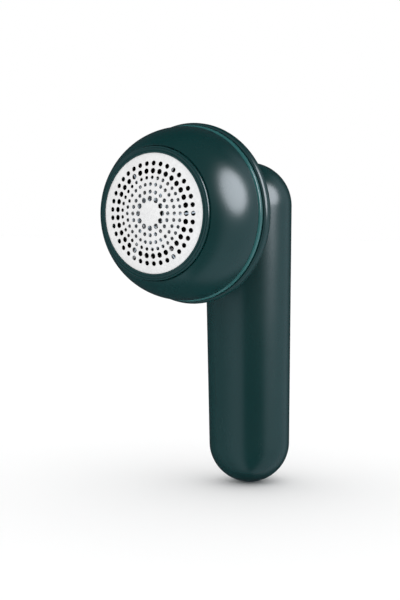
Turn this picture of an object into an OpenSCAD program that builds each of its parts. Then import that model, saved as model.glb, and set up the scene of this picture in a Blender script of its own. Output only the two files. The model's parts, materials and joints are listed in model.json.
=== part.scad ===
// Hand-held fabric shaver: a round shaving head on an upright capsule handle.
// The head's axis lies along Y and its foil faces -Y; the handle stands along Z.
// The origin is the middle of the grip, on the handle's own axis.

/* [Foil and its ring] */
// Radius of the foil that shows inside its ring
foil_r = 24.5; // [24:0.1:25]
// How far the foil's middle stands out from its edge
foil_rise = 2.4; // [2:0.1:2.8]
// Thickness of the foil's sheet
foil_t = 0.3; // [0.2:0.05:0.4]
// Outer radius of the ring around the foil
ring_r = 27.3; // [27.2:0.05:27.4]
// Turn that frees the ring's lugs, in degrees
ring_turn = 25; // [20:1:28]

/* [Head] */
// Radius of the head at the seam behind the dome
dome_r = 36.4; // [36:0.1:37]
// Depth of the seam behind the foil's edge
seam_d = 22.6; // [22.4:0.1:22.8]
// Length of the dome's full curve along the head's axis
dome_len = 31.5; // [31:0.1:32]
// Fullness of the dome's curve, where 2 is an ellipse
dome_n = 2.18; // [2.1:0.02:2.3]
// Wall of the dome
dome_wall = 2; // [1.8:0.1:2.2]
// Outer radius of the rear shell's rim
rim_r = 38.1; // [38:0.1:38.5]
// Wall of the rear shell
rear_wall = 2.2; // [2:0.1:2.4]
// Radius of the neck where it meets the handle
neck_r = 15; // [14.6:0.1:15.2]

/* [Cutter] */
// Number of leaf blades
blade_count = 6; // [3:1:8]
// Radius that the blades' tips sweep
blade_r = 23.4; // [23:0.1:23.5]
// Gap between the blades' edges and the foil
blade_gap = 0.25; // [0.2:0.05:0.4]
// Travel of the sprung cutter along its shaft
float_travel = 0.8; // [0.5:0.1:1]

/* [Handle] */
// Radius of the handle's top end
top_r = 19.6; // [19.4:0.1:19.8]
// Radius of the handle's bottom end
bottom_r = 18.15; // [18:0.05:18.4]
// Distance between the centres of the two round ends
end_span = 107.2; // [106:0.2:110]
// Wall of the handle's shells
handle_wall = 2; // [1.8:0.1:2.1]
// How far behind the handle's axis the back cover starts
part_y = 12; // [11.9:0.1:12.1]
// Height of the head's axis above the middle of the grip
head_z = 50; // [49:0.5:51]
// Distance from the handle's axis to the foil's edge
head_reach = 72.5; // [72:0.1:73]

/* [Power] */
// Radius of the battery cell
cell_r = 9.2; // [9:0.05:9.25]
// Length of the battery cell
cell_len = 65; // [64:0.5:65]
// Radius of the power button's cap
button_r = 6; // [5:0.5:6.2]
// Travel of the power button
button_travel = 0.6; // [0.4:0.1:0.7]

/* [Hidden] */
$fn = 96;

green = [0.04, 0.2, 0.2];
teal = [0.25, 0.55, 0.54];
steel = [0.8, 0.8, 0.8];
black = [0.08, 0.08, 0.09];
copper = [0.75, 0.42, 0.2];
tilt = atan((top_r - bottom_r) / end_span);
end_z = end_span / 2;
foil_ball = (foil_r * foil_r + foil_rise * foil_rise) / (2 * foil_rise);
foil_centre = foil_ball - foil_rise;
dome_front = 1;
spigot_r = 34.15;
lug_count = 3;
lug_angle = 24;
plate_gap = 1.2;
plate_r = 14.4;
hub_d = -0.15;
cap_d = hub_d - 0.1;
collar_d = 9.8 + float_travel;
motor_d = 15;
motor_end = 43;
motor_r = 12.1;
deck_d = 21;
rim_d = 27.4;
bowl_len = 14;
bowl_r = 31;
tail_r = 11;
clip_d = 60.6;
cell_y = -5.2;
cell_z = -42;
board_y = 5.6;
board_t = 1.2;
board_back = board_y + board_t;
button_z = 18;
guide_z = 4;
screw_zs = [36, -50];
socket_y = board_back + 1.6;
socket_z = -67.5;
socket_half = 2.9;

// Rings of round holes in the foil: [ring radius / foil radius, count, hole radius]
foil_rings = [
  [0.829, 37, 1], [0.704, 33, 1.12], [0.593, 33, 0.75], [0.483, 28, 0.77],
  [0.359, 20, 0.83], [0.245, 12, 1.1]
];

// Places on the head: radius from its axis, depth behind the foil's edge
module on_head() { translate([0, -head_reach, head_z]) rotate([90, 0, 0]) children(); }
module on_handle() { rotate([tilt, 0, 0]) children(); }
module turned(points) { rotate_extrude() polygon([for (p = points) [p[0], -p[1]]]); }
module disc(r, from, to) { translate([0, 0, -to]) cylinder(r = r, h = to - from); }
module tube(r, bore, from, to) {
  difference() {
    disc(r, from, to);
    disc(bore, from - 1, to + 1);
  }
}
module sector(r, bore, from, to, angle) {
  translate([0, 0, -to]) rotate([0, 0, -angle / 2])
    rotate_extrude(angle = angle) translate([bore, 0]) square([r - bore, to - from]);
}
module around(count) { for (i = [0:count - 1]) rotate([0, 0, i * 360 / count]) children(); }
module back_rod(r, from, to) { translate([0, from, 0]) rotate([-90, 0, 0]) cylinder(r = r, h = to - from); }
module block(low, high) { translate(low) cube(high - low); }
module stadium(r, h) { hull() for (side = [-1, 1]) translate([socket_half * side, 0, 0]) cylinder(r = r, h = h, $fn = 24); }

// A round wire through a list of points, with a slightly fuller ball at each bend
module wire(points, r) {
  for (i = [0:len(points) - 2]) {
    run = points[i + 1] - points[i];
    translate(points[i])
      rotate([0, acos(run[2] / norm(run)), atan2(run[1], run[0])]) cylinder(r = r, h = norm(run), $fn = 24);
    if (i > 0) translate(points[i]) sphere(r = r * 1.06, $fn = 24);
  }
}

// A curve moved inwards by w, square to itself
function inset(p, w) = [for (i = [0:len(p) - 1])
  let (a = p[max(i - 1, 0)], b = p[min(i + 1, len(p) - 1)], t = (b - a) / norm(b - a)) p[i] + w * [-t[1], t[0]]];
function back_to_front(p) = [for (i = [len(p) - 1:-1:0]) p[i]];

function dome_radius(d) = dome_r * pow(1 - pow((seam_d - d) / dome_len, dome_n), 1 / dome_n);
dome_curve = [for (a = [0:6:90]) let (d = seam_d - (seam_d - dome_front) * cos(a)) [dome_radius(d), d]];

// The rear bowl: a quarter of an ellipse, then a curve that runs into the neck
bowl_turn = acos(bowl_r / rim_r);
bowl_slope = rim_r / bowl_len * tan(bowl_turn);
bowl_d = rim_d + bowl_len * sin(bowl_turn);
bend_d = bowl_d + (bowl_r - neck_r) / bowl_slope;
neck_d = bend_d + 6;
bowl_curve = concat(
  [for (i = [0:7]) let (a = bowl_turn * i / 7) [rim_r * cos(a), rim_d + bowl_len * sin(a)]],
  [for (i = [1:10]) let (t = i / 10)
    (1 - t) * (1 - t) * [bowl_r, bowl_d] + 2 * t * (1 - t) * [neck_r, bend_d] + t * t * [neck_r, neck_d]]
);

// The handle's outer form, moved inwards by w: two round ends and a slight taper
module handle_form(w = 0) {
  arc_low = [for (a = [-90:6:0]) [(bottom_r - w) * cos(a), -end_z + (bottom_r - w) * sin(a)]];
  arc_top = [for (a = [0:6:90]) [(top_r - w) * cos(a), end_z + (top_r - w) * sin(a)]];
  rotate_extrude() polygon(concat(arc_low, arc_top));
}

// The domed sheet of radius r between two distances behind the foil's face
module domed_sheet(r, from, to) {
  intersection() {
    difference() {
      translate([0, 0, -foil_centre]) sphere(r = foil_ball - from);
      translate([0, 0, -foil_centre]) sphere(r = foil_ball - to);
    }
    disc(r, -5, 4);
  }
}

module foil_mesh() {
  color(steel) on_head() difference() {
    domed_sheet(foil_r + 0.85, 0, foil_t);
    for (ring = foil_rings) around(ring[1]) translate([ring[0] * foil_r, 0, 0])
      disc(ring[2], -5, 2);
  }
}

module foil_ring() {
  lip = [[24.5, -0.03], [24.55, -0.2], [24.75, -0.35], [25.15, -0.35], [25.5, -0.1], [26.1, 0.25]];
  bead = [[26.55, 0.2], [26.85, 0.05], [27.1, 0.12], [ring_r, 0.45], [ring_r, 3.7]];
  skirt = [[26.45, 3.7], [26.45, 8], [25.45, 8], [25.45, 0.16]];
  color(green) on_head() {
    turned(concat(lip, bead, skirt));
    around(lug_count) sector(ring_r, 26.2, 6.3, 7.9, lug_angle);
  }
}

module foil_clamp() {
  color(black) on_head() turned([[24, 0.25], [25.4, 0.53], [25.4, 3], [24, 3]]);
}

module lint_bin() {
  inner = [for (p = inset(dome_curve, dome_wall)) if (p[1] > 6 && p[1] < 16.5) p];
  front = [[26.75, 6], [26.75, 4], [27.55, 4], [27.55, 1.35], [27.75, 1.1]];
  color(green) on_head() difference() {
    turned(concat(dome_curve, [[34.4, seam_d], [34.4, 16.8], [33.9, 16.8]], back_to_front(inner), front));
    around(lug_count) rotate([0, 0, ring_turn]) sector(27.9, 26, 3.5, 6.5, lug_angle + 2);
  }
}

module trim_ring() {
  color(teal) on_head()
    turned([[34.2, 22.8], [36.5, 22.8], [36.8, 23.1], [36.95, 24], [36.85, 24.9], [36.6, 25.2], [34.2, 25.2]]);
}

module bin_seal() {
  color(black) on_head() rotate_extrude() translate([33.82, -19.7]) circle(r = 0.5, $fn = 24);
}

module motor_deck() {
  nose = [[3.1, 13], [13.6, 13], [14.2, 13.6], [14.2, deck_d]];
  spigot = [[32.3, deck_d], [32.3, 17.6], [spigot_r, 17.6], [spigot_r, 19.1], [33.3, 19.1], [33.3, 20.3],
    [spigot_r, 20.3], [spigot_r, 25.2], [32.3, 25.2]];
  color(black) on_head() difference() {
    turned(concat(nose, spigot, [[32.3, 22.8], [12.6, 22.8], [12.6, motor_d], [3.1, motor_d]]));
    around(3) translate([0, 28.5, 0]) disc(1.3, 20, 24);
    around(3) translate([0, -18, 0]) disc(0.9, 21.8, 24);
  }
}

module deck_screws() {
  color(steel) on_head() around(3) translate([0, 28.5, 0]) {
    difference() {
      disc(2.4, 19.6, deck_d);
      disc(1.4, 19, 20.2, $fn = 6);
    }
    disc(1.2, deck_d, 29);
  }
}

module shaft_seal() { color("dimgray") on_head() tube(4.6, 1.06, 12.5, 13); }

// A dished plate close behind the foil, with leaf blades that stand out of it and past its edge
module cutter_blades() {
  color(steel) on_head() {
    difference() {
      domed_sheet(plate_r, foil_t + plate_gap, foil_t + plate_gap + 0.5);
      disc(5.2, -5, 4);
    }
    intersection() {
      domed_sheet(blade_r, foil_t + blade_gap, foil_t + plate_gap + 0.3);
      around(blade_count) translate([14.7, 0, 0.6]) rotate([38, 0, 0]) cube([17.6, 0.5, 6], center = true);
    }
  }
}

module cutter_hub() {
  color(black) on_head() difference() {
    union() {
      disc(7.5, hub_d, 6.5);
      around(3) block([6, -1.5, -5.4], [12.6, 1.5, -hub_d - 0.5]);
    }
    disc(4.1, -1, 10, $fn = 6);
  }
}

// A helical coil swept as rings of points
module cutter_spring() {
  turns = 3;
  steps = 20;
  sides = 8;
  wire_r = 0.3;
  first = 7;
  last = 10.25;
  rings = [for (i = [0:turns * steps]) let (a = i * 360 / steps, z = first + (last - first) * i / (turns * steps))
    [for (k = [0:sides - 1]) let (b = k * 360 / sides, r = 5.6 + wire_r * cos(b))
      [r * cos(a), r * sin(a), -z + wire_r * sin(b)]]];
  count = len(rings);
  sides_list = [for (i = [0:count - 2], k = [0:sides - 1]) let (n = (k + 1) % sides)
    [i * sides + k, i * sides + n, (i + 1) * sides + n, (i + 1) * sides + k]];
  caps = [[for (k = [sides - 1:-1:0]) k], [for (k = [0:sides - 1]) (count - 1) * sides + k]];
  color(steel) on_head() polyhedron(points = [for (ring = rings) for (p = ring) p], faces = concat(sides_list, caps));
}

module drive_hub() {
  color("ivory") on_head() difference() {
    union() {
      disc(4, cap_d, 12, $fn = 6);
      disc(7, collar_d, 11.6);
      disc(3, 11.6, 12.2);
    }
    disc(1, 4, 13);
  }
}

module drive_cap() { color(steel) on_head() disc(4.8, cap_d - 0.8, cap_d); }

module motor_shaft() { color(steel) on_head() disc(1, 4, 47.5); }

module motor_armature() {
  color("dimgray") on_head() {
    difference() {
      disc(8.5, 21, 37);
      disc(1, 20, 38);
      around(5) translate([5.6, -0.9, -38]) cube([4, 1.8, 18]);
    }
    tube(2.8, 1, 39.6, 42.4);
  }
}

module motor_windings() {
  color(copper) on_head() {
    tube(7.6, 1, 18.6, 21);
    tube(7.6, 1, 37, 39.2);
  }
}

module motor_can() {
  color("silver") on_head() difference() {
    disc(motor_r, motor_d, motor_end);
    disc(11.3, motor_d + 0.8, motor_end + 1);
    disc(3, motor_d - 1, motor_d + 2);
    around(3) translate([0, -8, 0]) disc(1.2, motor_d - 1, motor_d + 2);
  }
}

module motor_magnets() {
  color(black) on_head() around(2) sector(11.3, 9, 20, 38, 130);
}

module motor_bushings() {
  color("goldenrod") on_head() {
    tube(3, 1.05, 13.5, 17);
    tube(3, 1.05, 44, 46.6);
  }
}

module motor_end_cap() {
  color("ivory") on_head() difference() {
    union() {
      disc(motor_r, motor_end, 45.2);
      tube(11.3, 9.8, 40, motor_end);
      disc(4.2, 45.2, 46.6);
    }
    disc(3, 40, 47);
    around(2) translate([7, 0, 0]) rotate([0, 0, 90]) translate([0, 0, -45]) cube([2.2, 0.5, 6], center = true);
  }
}

module motor_brushes() {
  color(copper) on_head() around(2) translate([2.9, -1.2, -42]) cube([6.8, 2.4, 2]);
}

module motor_terminals() {
  color(copper) on_head() around(2) translate([7, 0, -46.5]) rotate([0, 0, 90]) cube([2.2, 0.5, 7], center = true);
}

module motor_holder() {
  color(black) on_head() difference() {
    union() {
      disc(20.5, 22.8, 24.6);
      disc(14, 24.6, 36);
    }
    disc(motor_r, 20, 40);
    around(3) translate([0, -18, 0]) disc(1.1, 22, 26);
  }
}

module holder_screws() {
  color(steel) on_head() around(3) translate([0, -18, 0]) {
    disc(0.9, 21.8, 24.6);
    disc(1.9, 24.6, 26);
  }
}

module rear_form() {
  rim = [[34.2, 25.2], [36.3, 25.2], [36.3, 25.7], [37.1, 25.5], [37.7, 25.75], [38, 26.2]];
  inner = back_to_front(inset(bowl_curve, rear_wall));
  inner_r = rim_r - rear_wall;
  turned(concat(rim, bowl_curve, [[neck_r, 62], [neck_r - rear_wall, 62]], inner, [[inner_r, 27.2], [34.2, 27.2]]));
}

// A bowl with screw posts; its neck is cut to sit on the handle, and a grooved tail goes through the wall
module head_rear_shell() {
  color(green) {
    difference() {
      union() {
        on_head() {
          rear_form();
          tube(neck_r - 1, 9, neck_d - 1, 62);
          intersection() {
            around(3) translate([0, 28.5, 0]) disc(3, 22.8, 40);
            turned(concat([[0, 20], [34.1, 20], [rim_r - 1, 26]], bowl_curve, [[0, neck_d]]));
          }
        }
      }
      on_handle() handle_form(-0.02);
      on_head() around(3) translate([0, 28.5, 0]) disc(1.2, 22, 29.5);
    }
    on_head() difference() {
      tube(tail_r, 9, neck_d - 0.5, 63);
      tube(tail_r + 1, tail_r - 0.8, clip_d, clip_d + 1);
    }
  }
}

module neck_clip() {
  color(steel) on_head() difference() {
    tube(13.2, tail_r - 0.8, clip_d, clip_d + 1);
    translate([-4, -20, -70]) cube([8, 15, 20]);
  }
}

module motor_leads() {
  color("firebrick") for (side = [-1, 1])
    wire([[7 * side, -22.3, head_z], [6 * side, -18, head_z], [5 * side, -5, head_z - 2], [5 * side, 1, 38],
      [5 * side, 3, 29], [5 * side, board_y - 0.5, 28]], 0.6);
}

module handle_front_shell() {
  color(green) difference() {
    union() {
      on_handle() difference() {
        handle_form();
        handle_form(handle_wall);
        block([-30, part_y, -90], [30, 40, 90]);
      }
      intersection() {
        on_head() disc(13.5, 45, clip_d);
        on_handle() handle_form(0.5);
      }
    }
    on_head() disc(tail_r, 40, 70);
    on_handle() translate([0, socket_y, -80]) stadium(1.65, 20);
  }
}

module handle_back_cover() {
  color(green) on_handle() difference() {
    intersection() {
      union() {
        difference() {
          handle_form();
          handle_form(handle_wall);
        }
        translate([0, 0, button_z]) back_rod(8.6, 15, 20);
        for (z = screw_zs) translate([0, 0, z]) back_rod(4.2, part_y, 20);
      }
      handle_form();
      block([-30, part_y, -90], [30, 40, 90]);
    }
    translate([0, 0, button_z]) back_rod(button_r + 0.15, 10, 30);
    translate([0, 0, guide_z]) back_rod(1.2, 10, 30);
    for (z = screw_zs) translate([0, 0, z]) {
      back_rod(1.2, 10, 30);
      back_rod(2.6, 14, 30);
    }
  }
}

module cover_screws() {
  color(steel) on_handle() for (z = screw_zs) translate([0, 0, z]) difference() {
    union() {
      back_rod(1.2, 5, 14);
      back_rod(2.3, 14, 15.2);
    }
    back_rod(0.9, 14.6, 16, $fn = 6);
  }
}

module screw_plugs() {
  color(green) on_handle() intersection() {
    for (z = screw_zs) translate([0, 0, z]) back_rod(2.6, 15.4, 20);
    handle_form();
  }
}

module battery_cradle() {
  top_z = cell_z + cell_len;
  color(black) on_handle() difference() {
    union() {
      translate([0, cell_y, cell_z - 2]) cylinder(r = cell_r + 1.4, h = cell_len + 4);
      for (z = screw_zs) translate([0, 0, z]) back_rod(3, z > 0 ? -4 : -2, part_y);
      block([-3, -4, top_z], [3, 0, screw_zs[0] + 3]);
      block([-3, -2, screw_zs[1] - 3], [3, 2, cell_z]);
    }
    translate([0, cell_y, cell_z - 0.4]) cylinder(r = cell_r + 0.1, h = cell_len + 0.8);
    block([-20, -30, cell_z - 0.4], [20, cell_y - 2, top_z + 0.4]);
    for (z = screw_zs) translate([0, 0, z]) back_rod(1.2, 5, 13);
  }
}

module battery_cell() {
  color("steelblue") on_handle() translate([0, cell_y, cell_z]) {
    cylinder(r = cell_r, h = cell_len - 1);
    translate([0, 0, cell_len - 1]) cylinder(r = 3, h = 1);
  }
}

module battery_insulator() {
  color("ivory") on_handle() translate([0, cell_y, cell_z + cell_len - 1]) difference() {
    cylinder(r = 8.6, h = 0.3);
    translate([0, 0, -1]) cylinder(r = 3, h = 3);
  }
}

module battery_tabs() {
  color(steel) on_handle() for (z = [cell_z - 0.3, cell_z + cell_len])
    block([-3, cell_y - 4, z], [3, cell_y + 7, z + 0.3]);
}

module battery_leads() {
  color("firebrick") on_handle() {
    wire([[-7, board_y - 0.15, -46], [-7, 3, -46.5], [-5, -2, -46.5], [-5, -2, cell_z - 2.1]], 0.6);
    wire([[-7, board_y - 0.15, 27], [-7, 3, 27.5], [-5, -1, 27.5], [-5, -1, cell_z + cell_len + 2.1]], 0.6);
  }
}

module control_board() {
  color("darkgreen") on_handle() difference() {
    block([-8.5, board_y, -62], [8.5, board_back, 31]);
    for (z = screw_zs) translate([0, 0, z]) back_rod(3.1, 0, 10);
  }
}

module board_chips() {
  color(black) on_handle() {
    block([-6, board_back, -16], [-1, board_back + 2.4, -11]);
    block([1.5, board_back, -12], [6.5, board_back + 1, -7]);
    block([-5, board_back, -30], [-1, board_back + 1, -26]);
    for (z = [-34, -30, -26, -22]) block([2, board_back, z], [3.6, board_back + 0.8, z + 0.9]);
  }
}

module tact_switch() {
  color(black) on_handle() translate([0, 0, button_z]) difference() {
    block([-3, board_back, -3], [3, board_back + 3.6, 3]);
    back_rod(1.8, board_back + 1.4, 12);
  }
}

module switch_plunger() {
  color("white") on_handle() translate([0, 0, button_z]) back_rod(1.7, board_back + 1.7 + button_travel, 11.4);
}

module power_button() {
  color(green) on_handle() intersection() {
    translate([0, 0, button_z]) {
      back_rod(button_r, 13.5, 22);
      back_rod(7.3, 13.5, 14.7);
      back_rod(1.6, 11.4, 13.5);
    }
    handle_form(-0.5);
  }
}

module status_led() {
  color("white") on_handle() translate([0, 0, guide_z]) block([-0.8, board_back, -0.8], [0.8, board_back + 0.7, 0.8]);
}

module light_guide() {
  color("white") on_handle() intersection() {
    translate([0, 0, guide_z]) back_rod(1.2, board_back + 0.9, 22);
    handle_form();
  }
}

module usb_socket() {
  color(steel) on_handle() translate([0, socket_y, socket_z]) {
    difference() {
      stadium(1.6, 7.4);
      translate([0, 0, -1]) stadium(1.3, 7.4);
    }
    block([-3, -0.35, 1], [3, 0.35, 6.6]);
  }
}

foil_mesh();
foil_ring();
foil_clamp();
lint_bin();
trim_ring();
bin_seal();
motor_deck();
deck_screws();
shaft_seal();
cutter_blades();
cutter_hub();
cutter_spring();
drive_hub();
drive_cap();
motor_shaft();
motor_armature();
motor_windings();
motor_can();
motor_magnets();
motor_bushings();
motor_end_cap();
motor_brushes();
motor_terminals();
motor_holder();
holder_screws();
head_rear_shell();
neck_clip();
motor_leads();
handle_front_shell();
handle_back_cover();
cover_screws();
screw_plugs();
battery_cradle();
battery_cell();
battery_insulator();
battery_tabs();
battery_leads();
control_board();
board_chips();
tact_switch();
switch_plunger();
power_button();
status_led();
light_guide();
usb_socket();
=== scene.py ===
import json
import math

import bmesh
import bpy
import numpy as np
from mathutils import Matrix, Vector
from mathutils.geometry import delaunay_2d_cdt


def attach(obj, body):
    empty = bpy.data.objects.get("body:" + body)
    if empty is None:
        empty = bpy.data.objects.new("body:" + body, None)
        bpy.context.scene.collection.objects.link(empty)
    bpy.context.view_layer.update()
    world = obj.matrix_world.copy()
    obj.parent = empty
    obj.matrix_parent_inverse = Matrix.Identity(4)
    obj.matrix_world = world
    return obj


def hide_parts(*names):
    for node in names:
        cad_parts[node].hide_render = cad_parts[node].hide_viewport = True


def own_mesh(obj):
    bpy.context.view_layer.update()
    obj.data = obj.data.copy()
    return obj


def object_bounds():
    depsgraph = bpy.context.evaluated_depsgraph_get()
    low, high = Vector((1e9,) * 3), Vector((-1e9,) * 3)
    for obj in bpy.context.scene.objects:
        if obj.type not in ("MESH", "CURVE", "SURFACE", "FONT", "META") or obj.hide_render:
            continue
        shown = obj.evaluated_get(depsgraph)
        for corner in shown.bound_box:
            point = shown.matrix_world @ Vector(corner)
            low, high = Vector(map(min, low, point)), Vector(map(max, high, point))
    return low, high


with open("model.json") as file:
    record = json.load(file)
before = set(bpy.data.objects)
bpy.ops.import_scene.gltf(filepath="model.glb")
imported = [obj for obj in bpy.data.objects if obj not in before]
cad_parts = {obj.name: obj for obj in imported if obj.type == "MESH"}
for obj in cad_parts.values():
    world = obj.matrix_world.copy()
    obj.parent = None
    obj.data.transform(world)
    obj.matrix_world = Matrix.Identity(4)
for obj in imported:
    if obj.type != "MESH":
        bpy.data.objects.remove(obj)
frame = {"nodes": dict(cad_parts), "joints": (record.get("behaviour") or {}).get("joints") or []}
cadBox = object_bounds()
mm = 0.001

# The head's centre and the handle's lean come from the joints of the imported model
joints = {joint["name"]: joint for joint in frame["joints"]}
headX, foilY, headZ = joints["foil_ring_turn"]["pos_m"]
pressAxis = joints["button_press"]["axis"]
lean = math.atan2(-pressAxis[2], -pressAxis[1])


# Camera
cameraSetup = {
    "azimuth": 34.56,          # degrees, 0 looks along +Y
    "elevation": 3.54,
    "distance": 526.9 * mm,    # from the middle of the foil
    "right": 19.05 * mm,       # how far the camera's axis passes beside the foil
    "below": 35.08 * mm,
    "lens": 78,
    "film": 36,
}


def cameraAxes(setup):
    # right, up and back vectors of a level camera at an azimuth and an elevation
    a, e = math.radians(setup["azimuth"]), math.radians(setup["elevation"])
    right = Vector((math.cos(a), math.sin(a), 0))
    back = Vector((math.sin(a) * math.cos(e), -math.cos(a) * math.cos(e), math.sin(e)))
    return right, back.cross(right), back


def addCamera(setup):
    right, up, back = cameraAxes(setup)
    data = bpy.data.cameras.new("camera")
    data.sensor_fit = "VERTICAL"
    data.sensor_height = setup["film"]
    data.lens = setup["lens"]
    camera = bpy.data.objects.new("camera", data)
    foilMiddle = Vector((headX, foilY, headZ))
    place = foilMiddle + setup["right"] * right - setup["below"] * up + setup["distance"] * back
    camera.matrix_world = Matrix.Translation(place) @ Matrix((right, up, back)).transposed().to_4x4()
    bpy.context.scene.collection.objects.link(camera)
    bpy.context.scene.camera = camera


addCamera(cameraSetup)
print("camera done")


# Studio
studio = {
    "azimuth": cameraSetup["azimuth"],
    "floorSize": 12,
    "floorColour": (0.95, 0.95, 0.95, 1),
    "paper": 1.0,              # level of the white paper behind the object
    "fill": 1.12,              # even light on everything
    "dark": 0.02,              # what the polish reflects of the dark side of the room
    "tint": (0.74, 0.87, 1.0, 1),
    # reflected level of the room by compass: turns from the camera's side, past its right hand,
    # the back, its left
    "room": [(0.0, 0.02), (0.09, 0.02), (0.14, 0.65), (0.34, 0.55), (0.40, 0.05), (0.62, 0.06),
             (0.745, 0.3), (0.90, 0.72), (0.937, 0.7), (0.96, 0.02), (1.0, 0.02)],
    "ceiling": (0.55, 0.85),   # sines of elevation between which the walls fade into a dark ceiling
    "softboxTurn": 68,         # degrees to the right of the camera
    "softboxRise": 24,
    "softboxDistance": 0.75,
    "softboxSize": (0.62, 0.66),
    "softboxLevel": 8.0,
    "softboxTint": (0.9, 0.93, 1.0),
}


def addFloor(setup):
    low = cadBox[0].z
    half = setup["floorSize"] / 2
    mesh = bpy.data.meshes.new("floor")
    corners = [(-half, -half, low), (half, -half, low), (half, half, low), (-half, half, low)]
    mesh.from_pydata(corners, [], [(0, 1, 2, 3)])
    floor = bpy.data.objects.new("floor", mesh)
    bpy.context.scene.collection.objects.link(floor)
    material = bpy.data.materials.new("paleFloor")
    material.use_nodes = True
    shader = material.node_tree.nodes["Principled BSDF"]
    shader.inputs["Base Color"].default_value = setup["floorColour"]
    shader.inputs["Roughness"].default_value = 0.9
    shader.inputs["Specular IOR Level"].default_value = 0.1
    mesh.materials.append(material)
    floor.visible_glossy = False


def addRoom(setup):
    # the camera sees white paper; polish sees the room by compass direction; the rest gets an even light
    world = bpy.data.worlds.new("room")
    bpy.context.scene.world = world
    world.use_nodes = True
    world.cycles.sampling_method = "NONE"
    nodes, links = world.node_tree.nodes, world.node_tree.links
    nodes.clear()
    place = nodes.new("ShaderNodeTexCoord")
    turn = nodes.new("ShaderNodeMapping")
    turn.vector_type = "POINT"
    turn.inputs["Rotation"].default_value = (0, 0, math.radians(270 - setup["azimuth"]))
    split = nodes.new("ShaderNodeSeparateXYZ")
    compass = nodes.new("ShaderNodeMath")
    compass.operation = "ARCTAN2"
    share = nodes.new("ShaderNodeMapRange")
    share.inputs["From Min"].default_value = -math.pi
    share.inputs["From Max"].default_value = math.pi
    ramp = nodes.new("ShaderNodeValToRGB")
    ramp.color_ramp.interpolation = "EASE"
    for position, level in setup["room"][1:-1]:
        ramp.color_ramp.elements.new(position)
    for element, (position, level) in zip(ramp.color_ramp.elements, setup["room"]):
        element.position = position
        element.color = (level * setup["tint"][0], level * setup["tint"][1], level * setup["tint"][2], 1)
    links.new(place.outputs["Generated"], turn.inputs["Vector"])
    links.new(turn.outputs["Vector"], split.inputs["Vector"])
    links.new(split.outputs["Y"], compass.inputs[0])
    links.new(split.outputs["X"], compass.inputs[1])
    links.new(compass.outputs["Value"], share.inputs["Value"])
    links.new(share.outputs["Result"], ramp.inputs["Fac"])
    path = nodes.new("ShaderNodeLightPath")
    polish, even, paper = (nodes.new("ShaderNodeBackground") for _ in range(3))
    even.inputs["Color"].default_value = (1, 1, 1, 1)
    even.inputs["Strength"].default_value = setup["fill"]
    paper.inputs["Strength"].default_value = setup["paper"]
    paper.inputs["Color"].default_value = (1, 1, 1, 1)
    fade = nodes.new("ShaderNodeMapRange")
    fade.interpolation_type = "SMOOTHSTEP"
    fade.inputs["From Min"].default_value, fade.inputs["From Max"].default_value = setup["ceiling"]
    fade.inputs["To Min"].default_value, fade.inputs["To Max"].default_value = 1, setup["dark"]
    links.new(split.outputs["Z"], fade.inputs["Value"])
    links.new(ramp.outputs["Color"], polish.inputs["Color"])
    links.new(fade.outputs["Result"], polish.inputs["Strength"])
    glossy, camera = nodes.new("ShaderNodeMixShader"), nodes.new("ShaderNodeMixShader")
    links.new(path.outputs["Is Glossy Ray"], glossy.inputs["Fac"])
    links.new(even.outputs["Background"], glossy.inputs[1])
    links.new(polish.outputs["Background"], glossy.inputs[2])
    links.new(path.outputs["Is Camera Ray"], camera.inputs["Fac"])
    links.new(glossy.outputs["Shader"], camera.inputs[1])
    links.new(paper.outputs["Background"], camera.inputs[2])
    output = nodes.new("ShaderNodeOutputWorld")
    links.new(camera.outputs["Shader"], output.inputs["Surface"])


def addSoftbox(setup):
    right, up, back = cameraAxes(dict(setup, elevation=0))
    t, e = math.radians(setup["softboxTurn"]), math.radians(setup["softboxRise"])
    toBox = (back * math.cos(t) + right * math.sin(t)) * math.cos(e) + Vector((0, 0, math.sin(e)))
    width, height = setup["softboxSize"]
    data = bpy.data.lights.new("softbox", "AREA")
    data.shape = "ELLIPSE"
    data.size, data.size_y = width, height
    data.energy = setup["softboxLevel"] * math.pi * width * height
    data.color = setup["softboxTint"]
    lamp = bpy.data.objects.new("softbox", data)
    lamp.matrix_world = (Matrix.Translation(Vector((headX, foilY, headZ)) + toBox * setup["softboxDistance"])
                         @ toBox.to_track_quat("Z", "Y").to_matrix().to_4x4())
    lamp.visible_camera = False
    lamp.visible_diffuse = False
    bpy.context.scene.collection.objects.link(lamp)


addFloor(studio)
addRoom(studio)
addSoftbox(studio)
bpy.context.scene.view_settings.view_transform = "Standard"
print("studio done")


# Node groups that the finishes share
def newGroup(name, inputs, outputs):
    # inputs and outputs are (name, kind, value) rows
    group = bpy.data.node_groups.new(name, "ShaderNodeTree")
    for label, kind, value in inputs:
        socket = group.interface.new_socket(label, in_out="INPUT", socket_type="NodeSocket" + kind)
        socket.default_value = value
    for label, kind in outputs:
        group.interface.new_socket(label, in_out="OUTPUT", socket_type="NodeSocket" + kind)
    return group, group.nodes.new("NodeGroupInput"), group.nodes.new("NodeGroupOutput")


def noiseNode(tree, vector, scale, detail=2.0, stretch=None):
    # a noise on a place vector, whose scale is a number or a socket
    noise = tree.nodes.new("ShaderNodeTexNoise")
    noise.inputs["Detail"].default_value = detail
    if stretch:
        mapping = tree.nodes.new("ShaderNodeMapping")
        mapping.inputs["Scale"].default_value = stretch
        tree.links.new(vector, mapping.inputs["Vector"])
        vector = mapping.outputs["Vector"]
    tree.links.new(vector, noise.inputs["Vector"])
    if isinstance(scale, (int, float)):
        noise.inputs["Scale"].default_value = scale
    else:
        tree.links.new(scale, noise.inputs["Scale"])
    return noise.outputs["Fac"]


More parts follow.
